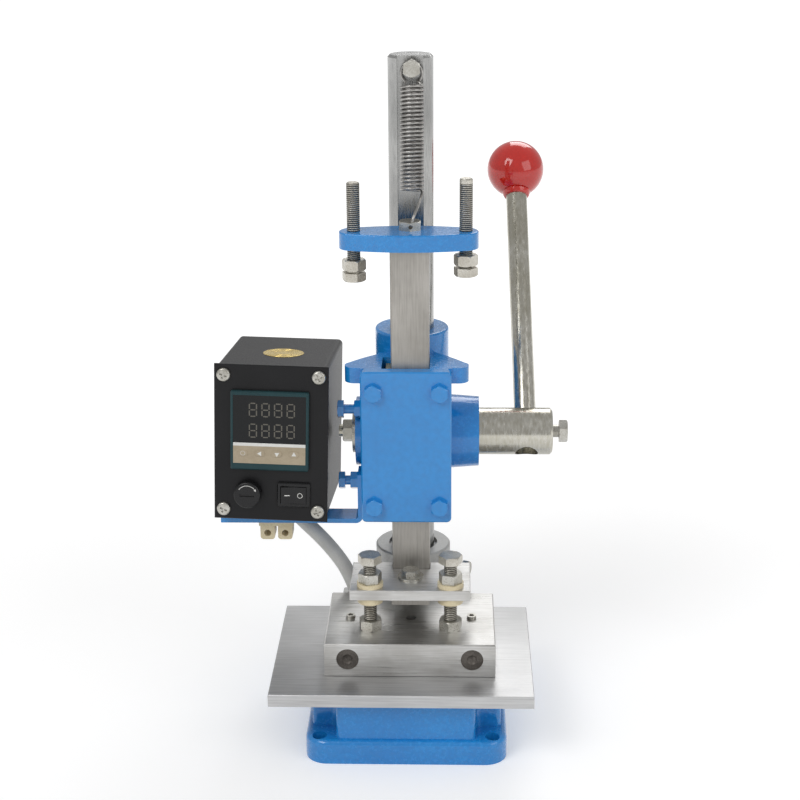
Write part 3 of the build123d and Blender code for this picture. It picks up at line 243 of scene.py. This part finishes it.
unlitSegment = finish("unlitSegment", (0.125, 0.115, 0.095), (0.10, 0.092, 0.075), rough=(0.3, 0.4),
                      grain=1600)
whitePrint = finish("whitePrint", (0.74, 0.74, 0.71), (0.66, 0.66, 0.63), rough=(0.4, 0.55), grain=1600)

# what isn't named here is a zinc plated fastener
nodeFinish = {
    blueEnamel: ["base_casting", "head_casting", "stop_plate"],
    coverEnamel: ["front_cover", "cover_bolts", "gib_bolts", "box_bracket", "head_clamp_bolts"],
    castGrey: ["column_socket"],
    brushedTable: ["worktable"],
    brushedBlock: ["heater_block", "ram_end_plate"],
    groundColumn: ["column"],
    ramSteel: ["ram"],
    platedSteel: ["pinion_shaft", "lever_rod"],
    zincStop: ["stop_bolt_left", "stop_bolt_right"],
    zincLevel: ["levelling_bolts"],
    bronze: ["pinion_bush_left", "pinion_bush_right", "ram_gib"],
    boxPaint: ["box_shell", "box_front_panel"],
    blackMoulded: ["fuse_holder", "fuse_cap", "switch_body", "switch_rocker", "power_inlet"],
    tealMoulded: ["controller_bezel", "controller_case"],
    smokedWindow: ["display_window"],
    softKey: ["key_set", "key_shift", "key_down", "key_up"],
    creamMoulded: ["insulating_bushes", "terminal_strip"],
    greyRubber: ["cable_grommet"],
    plainTin: ["lead_cover"],
    heatDark: ["cartridge_heaters"],
    redBall: ["ball_knob"],
    whitePrint: ["fuse_link"],
}
replacedNodes = ["return_spring", "heater_cable"]
finishOf = {node: material for material, named in nodeFinish.items() for node in named}
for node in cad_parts:
    if node not in replacedNodes:
        cadPiece = bpy.data.objects[node]
        cadPiece.data.materials.clear()
        cadPiece.data.materials.append(finishOf.get(node, zincPlate))
print("finishes on the CAD nodes")


# how new pieces are made and finished off
def settle(piece, name, body, material, smooth=35):
    # place goes into the mesh, so the object itself sits at the origin
    piece.name = piece.data.name = name
    bpy.context.view_layer.update()
    piece.data.transform(piece.matrix_world)
    piece.matrix_world = Matrix.Identity(4)
    piece.data.materials.clear()
    piece.data.materials.append(material)
    bpy.ops.object.select_all(action="DESELECT")
    piece.select_set(True)
    bpy.context.view_layer.objects.active = piece
    bpy.ops.object.shade_smooth_by_angle(angle=radians(smooth))
    if body:
        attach(piece, body)


def joined(parts):
    bpy.ops.object.select_all(action="DESELECT")
    for part in parts:
        part.select_set(True)
    bpy.context.view_layer.objects.active = parts[0]
    bpy.ops.object.join()
    return bpy.context.active_object


def rounded(piece, width, segments):
    soften = piece.modifiers.new("soften", "BEVEL")
    soften.width, soften.segments, soften.limit_method = width * mm, segments, "ANGLE"
    bpy.context.view_layer.objects.active = piece
    bpy.ops.object.modifier_apply(modifier=soften.name)
    return piece


def bar(x, y, z, wide, deep, tall, frameMatrix, turn=0.0):
    bpy.ops.object.select_all(action="DESELECT")
    bpy.ops.mesh.primitive_cube_add(size=1)
    piece = bpy.context.active_object
    piece.data.transform(Matrix.Diagonal((wide * mm, deep * mm, tall * mm, 1)))
    piece.data.transform(frameMatrix @ shifted(x, y, z) @ turned(turn, "Y"))
    return piece


def disc(x, y, z, radius, deep, frameMatrix, sides=48, turn=0.0):
    # its flat faces look along the frame's y
    bpy.ops.object.select_all(action="DESELECT")
    bpy.ops.mesh.primitive_cylinder_add(vertices=sides, radius=radius * mm, depth=deep * mm)
    piece = bpy.context.active_object
    piece.data.transform(frameMatrix @ shifted(x, y, z) @ turned(turn, "Y") @ turned(pi / 2, "X"))
    return piece


def ring(x, y, z, radius, wire, frameMatrix):
    # lies flat as a disc does
    bpy.ops.object.select_all(action="DESELECT")
    bpy.ops.mesh.primitive_torus_add(major_radius=radius * mm, minor_radius=wire * mm,
                                     major_segments=40, minor_segments=8)
    piece = bpy.context.active_object
    piece.data.transform(frameMatrix @ shifted(x, y, z) @ turned(pi / 2, "X"))
    return piece


def routeCurve(points, thickness, steps):
    line = bpy.data.curves.new("route", "CURVE")
    line.dimensions, line.resolution_u = "3D", steps
    line.bevel_depth, line.bevel_resolution, line.use_fill_caps = thickness * mm, 4, thickness > 0
    spline = line.splines.new("NURBS")
    spline.points.add(len(points) - 1)
    for control, point in zip(spline.points, points):
        control.co = (*(Vector(point) * mm), 1)
    spline.order_u = 3
    spline.use_endpoint_u = True
    piece = bpy.data.objects.new("route", line)
    bpy.context.collection.objects.link(piece)
    return piece


def meshOf(curvePiece):
    bpy.context.view_layer.update()
    depsgraph = bpy.context.evaluated_depsgraph_get()
    mesh = bpy.data.meshes.new_from_object(curvePiece.evaluated_get(depsgraph))
    bpy.data.objects.remove(curvePiece)
    return mesh


def tube(points, thickness, steps):
    piece = bpy.data.objects.new("tube", meshOf(routeCurve(points, thickness, steps)))
    bpy.context.collection.objects.link(piece)
    return piece


# return spring: close coil with a loop on the anchor bolt and a hook in the plate bolt
spring = {"top": (1.2, 27.0, 402.0), "end": (1.2, 16.0, 340.0), "radius": 6.55, "wire": 0.85, "coils": 26,
          "turnSteps": 12, "loop": (1.0, 31.0, 408.8), "loopFrom": -150, "loopStep": 30, "loopPoints": 11,
          "intoCoil": (3.5, 1.5, 2.6), "outOfCoil": ((5.4, -3.0, -3.5), (3.6, -6.2, -8.5)),
          "hook": (1.0, 3.2, 321.0), "aboveHook": ((1.6, 0.6, 6.5), (0.4, -0.4, 2.6))}


def springRoute():
    top, end = Vector(spring["top"]), Vector(spring["end"])
    axis = (end - top).normalized()
    side = Vector((1, 0, 0))
    across = axis.cross(side)
    loop = Vector(spring["loop"])
    loopAngles = [radians(spring["loopFrom"] + spring["loopStep"] * i) for i in range(spring["loopPoints"])]
    points = [loop + Vector((sin(a), 0, cos(a))) * spring["radius"] for a in loopAngles]
    points.append(top + Vector(spring["intoCoil"]))
    steps = spring["coils"] * spring["turnSteps"]
    for i in range(steps + 1):
        a = 2 * pi * i / spring["turnSteps"]
        points.append(top + (end - top) * (i / steps) + (side * cos(a) + across * sin(a)) * spring["radius"])
    points += [end + Vector(away) for away in spring["outOfCoil"]]
    hook = Vector(spring["hook"])
    return points + [hook + Vector(away) for away in spring["aboveHook"]] + [hook]


springPiece = tube(springRoute(), spring["wire"], steps=3)
settle(springPiece, "springCoil", None, springWire, smooth=60)
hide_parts("return_spring")
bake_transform(springPiece)
print("return spring")

# heater cable, from the box to the block
cable = {"route": [(-82.0, 23.5, 133.5), (-72.5, 22.0, 123.0), (-60.0, 20.3, 111.5), (-49.3, 20.6, 98.0),
                   (-41.8, 22.6, 84.5), (-38.0, 25.6, 71.0)],
         "diameter": 9.5, "steps": 10}
cableLine = meshOf(routeCurve(cable["route"], 0, cable["steps"]))
cablePiece = tube(cable["route"], cable["diameter"] / 2, cable["steps"])
settle(cablePiece, "cableTube", None, cableSleeve, smooth=60)
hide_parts("heater_cable")
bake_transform(cablePiece)

# controller face: two rows of unlit digits, the keypad sheet with a pale strip above it, and the key marks
face = {"x": -0.6, "window": 65.0, "windowFront": -5.1, "front": -5.4, "wide": 45.0,
        "keyZ": 43.8, "keyStart": -17.0, "keyStep": 10.6, "keyProud": 0.53}
digit = {"rows": (6.4, -6.8), "first": 10.2, "step": 7.8, "count": 4, "wide": 4.4, "tall": 8.2,
         "stroke": 0.17, "flatShare": 0.68, "uprightShare": 0.40}
keypadSheet = {"deep": 0.08, "tall": 12.0, "drop": 0.5}
paleStrip = {"deep": 0.1, "tall": 2.0, "drop": 15.6}
keyMark = {"ring": 1.35, "wire": 0.12, "arrow": 1.7}
keyTurns = {"key_set": None, "key_shift": -pi / 2, "key_down": pi, "key_up": 0.0}
printDeep = 0.06


def digitBars(x, z):
    wide, half = digit["wide"], digit["tall"] / 2
    stroke = wide * digit["stroke"]
    y = face["windowFront"] - printDeep / 2
    flatLong, uprightTall = wide * digit["flatShare"], digit["tall"] * digit["uprightShare"]
    flat = [bar(x, y, z + dz, flatLong, printDeep, stroke, boxPlace) for dz in (-half, 0, half)]
    upright = [bar(x + dx, y, z + dz, stroke, printDeep, uprightTall, boxPlace)
               for dx in (-wide / 2, wide / 2) for dz in (-half / 2, half / 2)]
    return flat + upright


digits = []
for row in digit["rows"]:
    for i in range(digit["count"]):
        digits += digitBars(face["x"] - digit["first"] + digit["step"] * i, face["window"] + row)
settle(joined(digits), "displayDigits", "frame_body", unlitSegment)

keypad = bar(face["x"], face["front"] - keypadSheet["deep"] / 2, face["keyZ"] - keypadSheet["drop"],
             face["wide"], keypadSheet["deep"], keypadSheet["tall"], boxPlace)
settle(keypad, "keypadOverlay", "frame_body", softKey)
strip = bar(face["x"], face["front"] - paleStrip["deep"] / 2, face["window"] - paleStrip["drop"],
            face["wide"], paleStrip["deep"], paleStrip["tall"], boxPlace)
settle(strip, "faceStrip", "frame_body", whitePrint)

keyFront = face["front"] - face["keyProud"]
for i, (name, turn) in enumerate(keyTurns.items()):
    x = face["keyStart"] + face["keyStep"] * i
    if turn is None:
        mark = ring(x, keyFront, face["keyZ"], keyMark["ring"], keyMark["wire"], boxPlace)
    else:
        mark = disc(x, keyFront, face["keyZ"], keyMark["arrow"], printDeep, boxPlace, sides=3, turn=turn)
    settle(mark, f"{name}Mark", f"{name}_body", whitePrint)
print("controller face")

# rocker marks, a bar on one half and a ring on the other
rocker = {"x": 14.4, "y": -2.0, "z": 17.3, "half": radians(8), "rest": radians(4), "reach": 4.0,
          "face": -2.4, "proud": 0.1, "bar": (3.2, 0.08, 0.6), "ring": 1.5, "wire": 0.2}
rockerPlace = boxPlace @ shifted(rocker["x"], rocker["y"], rocker["z"]) @ turned(rocker["rest"], "Z")
markDepth = rocker["face"] - rocker["reach"] * tan(rocker["half"]) - rocker["proud"]
onSide = rockerPlace @ shifted(-rocker["reach"], markDepth, 0) @ turned(rocker["half"], "Z")
offSide = rockerPlace @ shifted(rocker["reach"], markDepth, 0) @ turned(-rocker["half"], "Z")
settle(joined([bar(0, 0, 0, *rocker["bar"], onSide), ring(0, 0, 0, rocker["ring"], rocker["wire"], offSide)]),
       "rockerMarks", "rocker_body", whitePrint)

# curved arrow round the fuse cap
fuse = {"x": -14.0, "z": 17.4, "front": -9.03, "radius": 6.2, "from": -50, "step": 8, "bars": 13,
        "barWide": 0.9, "barTall": 0.35, "tip": 56, "tipRadius": 0.9}


def onFuseArc(a):
    return fuse["x"] + fuse["radius"] * sin(a), fuse["front"], fuse["z"] + fuse["radius"] * cos(a)


arcAngles = [radians(fuse["from"] + fuse["step"] * i) for i in range(fuse["bars"])]
arcBars = [bar(*onFuseArc(a), fuse["barWide"], printDeep, fuse["barTall"], boxPlace, turn=a)
           for a in arcAngles]
arcBars.append(disc(*onFuseArc(radians(fuse["tip"])), fuse["tipRadius"], printDeep, boxPlace, sides=3,
                    turn=radians(fuse["tip"] + 90)))
settle(joined(arcBars), "fuseTurnMark", "fuse_cap_body", whitePrint)

# plain round seal on the box's top
seal = {"x": 2.0, "y": 40.0, "top": 98.2, "radius": 13.0, "deep": 0.2, "rings": (12.3, 9.4, 6.2),
        "wire": 0.12}
sealFlat = boxPlace @ shifted(seal["x"], seal["y"], seal["top"] + seal["deep"] / 2) @ turned(pi / 2, "X")
sealParts = [disc(0, 0, 0, seal["radius"], seal["deep"], sealFlat, sides=72)]
for radius in seal["rings"]:
    sealParts.append(ring(0, seal["deep"] / 2, 0, radius, seal["wire"], sealFlat))
settle(joined(sealParts), "roundSeal", "frame_body", goldFoil)
print("rocker marks, fuse cap mark and seal")

# collar where the lever enters the ball
lever = {"x": 72.8, "y": 23.25, "z": 183.4, "lean": radians(38.3), "side": radians(1.4), "seat": 168.2,
         "lowRadius": 8.2, "highRadius": 9.6, "tall": 3.2, "edge": 0.6}
leverWay = Vector((-sin(lever["side"]), sin(lever["lean"]) * cos(lever["side"]),
                   cos(lever["lean"]) * cos(lever["side"])))
bpy.ops.object.select_all(action="DESELECT")
bpy.ops.mesh.primitive_cone_add(vertices=64, radius1=lever["lowRadius"] * mm,
                                radius2=lever["highRadius"] * mm, depth=lever["tall"] * mm)
collar = rounded(bpy.context.active_object, lever["edge"], segments=3)
collarSeat = Vector((lever["x"], lever["y"], lever["z"])) + leverWay * lever["seat"]
alongLever = leverWay.to_track_quat("Z", "Y").to_matrix().to_4x4()
collar.data.transform(Matrix.Translation(collarSeat * mm) @ alongLever)
settle(collar, "leverCollar", "lever_body", redBall)
print("lever collar")

# floor that glows more the farther it is, so that it runs into a white background
floorSet = {"size": 30, "grey": 0.86, "rough": 0.9, "glowFrom": 0.3, "glowTo": 2.2, "nearGlow": 0.24,
            "farGlow": 0.66}
bpy.ops.object.select_all(action="DESELECT")
bpy.ops.mesh.primitive_plane_add(size=floorSet["size"])
floor = bpy.context.active_object
floor.name = "floor"
floorLook = bpy.data.materials.new("floorLook")
floorLook.use_nodes = True
floorTree = floorLook.node_tree
floorNodes, floorLinks = floorTree.nodes, floorTree.links
floorShader = floorNodes["Principled BSDF"]
floorShader.inputs["Base Color"].default_value = (floorSet["grey"],) * 3 + (1,)
floorShader.inputs["Roughness"].default_value = floorSet["rough"]
floorShader.inputs["Specular IOR Level"].default_value = 0.0
floorShader.inputs["Emission Color"].default_value = (1, 1, 1, 1)
rays = floorNodes.new("ShaderNodeLightPath")
seen = mathNode(floorTree, "MAXIMUM", rays.outputs["Is Camera Ray"], rays.outputs["Is Glossy Ray"])
farOff = floorNodes.new("ShaderNodeVectorMath")
farOff.operation = "LENGTH"
floorLinks.new(floorNodes.new("ShaderNodeTexCoord").outputs["Object"], farOff.inputs[0])
glow = floorNodes.new("ShaderNodeMapRange")
for socket, setting in (("From Min", "glowFrom"), ("From Max", "glowTo"),
                        ("To Min", "nearGlow"), ("To Max", "farGlow")):
    glow.inputs[socket].default_value = floorSet[setting]
floorLinks.new(farOff.outputs["Value"], glow.inputs["Value"])
floorGlow = mathNode(floorTree, "MULTIPLY", seen, glow.outputs[0])
floorLinks.new(floorGlow, floorShader.inputs["Emission Strength"])
floor.data.materials.append(floorLook)

# plain white surroundings, brighter where the camera sees them
worldSet = {"light": 0.5, "seenMore": 0.5}
world = bpy.data.worlds.new("studio")
bpy.context.scene.world = world
world.use_nodes = True
worldTree = world.node_tree
background = worldTree.nodes["Background"]
worldRays = worldTree.nodes.new("ShaderNodeLightPath")
sky = mathNode(worldTree, "MULTIPLY", worldRays.outputs["Is Camera Ray"], worldSet["seenMore"])
background.inputs["Color"].default_value = (1, 1, 1, 1)
worldTree.links.new(mathNode(worldTree, "ADD", sky, worldSet["light"]), background.inputs["Strength"])

# each lamp's place in metres, size and power
lamps = {"key": ((-0.9, -1.1, 1.5), 0.9, 12.5),
         "fill": ((1.2, -0.9, 0.9), 1.0, 5),
         "rim": ((0.3, 1.3, 1.3), 0.9, 8)}
aim = Vector((0, 0, 0.2))
for name, (place, size, power) in lamps.items():
    bpy.ops.object.light_add(type="AREA", location=place)
    lamp = bpy.context.active_object
    lamp.name, lamp.data.size, lamp.data.energy = name, size, power
    lamp.rotation_euler = (aim - Vector(place)).to_track_quat("-Z", "Y").to_euler()

camera = {"place": (26.2, -987.5, 542.2), "down": 18.49, "left": 1.90, "roll": -0.47, "lens": 75.41}
eye = bpy.data.objects.new("camera", bpy.data.cameras.new("camera"))
bpy.context.collection.objects.link(eye)
eye.data.lens, eye.data.sensor_width = camera["lens"], 36
eye.matrix_world = (shifted(*camera["place"]) @ turned(radians(camera["left"]), "Z")
                    @ turned(radians(90 - camera["down"]), "X") @ turned(radians(camera["roll"]), "Z"))
bpy.context.scene.camera = eye
bpy.context.scene.view_settings.view_transform = "Standard"
print("stage, lamps and camera")
